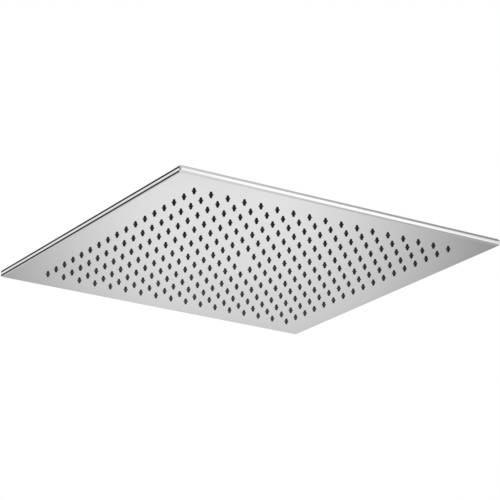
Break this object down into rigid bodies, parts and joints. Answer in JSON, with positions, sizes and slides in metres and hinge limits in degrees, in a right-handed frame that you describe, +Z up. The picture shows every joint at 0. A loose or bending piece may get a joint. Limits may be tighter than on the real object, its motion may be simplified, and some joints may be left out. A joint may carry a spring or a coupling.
{
  "type": "rain shower head",
  "caption": "Square slim overhead rain shower head: polished steel plate with a grid of silicone nozzles and a swivel ball inlet with a female pipe thread.",
  "frame": {"origin": "middle of the inlet thread's mouth, at the top of the stem", "axes": "+Z up along the inlet's axis, the way the shower arm leaves; X and Y along the plate's sides; the face looks down"},
  "size_m": [0.4, 0.4, 0.0624],
  "materials": {
    "polished_steel": "mirror polished",
    "satin_steel": "satin, fine straight grain",
    "inner_steel": "mill",
    "plated_fitting": "chrome plated",
    "nozzle_silicone": "soft, slightly glossy",
    "black_rubber": "matte",
    "white_plastic": "matte",
    "green_plastic": "moulded"
  },
  "bodies": {
    "inlet": {"ball_stem": "plated_fitting", "inlet_washer": "black_rubber", "filter_screen": "inner_steel", "flow_regulator": "green_plastic"},
    "slip_ring": {"slip_ring": "white_plastic"},
    "ball_seal": {"ball_seal": "black_rubber"},
    "head": {"face_plate": "polished_steel", "back_plate": "satin_steel", "water_deflector": "inner_steel", "ball_socket": "plated_fitting", "collar_nut": "plated_fitting", "nozzle_row_01": "nozzle_silicone", "nozzle_row_02": "nozzle_silicone", "nozzle_row_03": "nozzle_silicone", "nozzle_row_04": "nozzle_silicone", "nozzle_row_05": "nozzle_silicone", "nozzle_row_06": "nozzle_silicone", "nozzle_row_07": "nozzle_silicone", "nozzle_row_08": "nozzle_silicone", "nozzle_row_09": "nozzle_silicone", "nozzle_row_10": "nozzle_silicone", "nozzle_row_11": "nozzle_silicone", "nozzle_row_12": "nozzle_silicone", "nozzle_row_13": "nozzle_silicone", "nozzle_row_14": "nozzle_silicone", "nozzle_row_15": "nozzle_silicone", "nozzle_row_16": "nozzle_silicone", "nozzle_row_17": "nozzle_silicone", "spacer_post_1": "inner_steel", "spacer_post_2": "inner_steel", "spacer_post_3": "inner_steel", "spacer_post_4": "inner_steel", "spacer_post_5": "inner_steel", "spacer_post_6": "inner_steel", "spacer_post_7": "inner_steel", "spacer_post_8": "inner_steel"}
  },
  "joints": [
    {"name": "head_spin", "type": "hinge", "parent": "inlet", "child": "slip_ring", "pos_m": [0, 0, -0.03507], "axis": [0, 0, 1], "continuous": true},
    {"name": "head_swing_x", "type": "hinge", "parent": "slip_ring", "child": "ball_seal", "pos_m": [0, 0, -0.03507], "axis": [1, 0, 0], "range_deg": [-10, 10]},
    {"name": "head_swing_y", "type": "hinge", "parent": "ball_seal", "child": "head", "pos_m": [0, 0, -0.03507], "axis": [0, 1, 0], "range_deg": [-10, 10]}
  ]
}
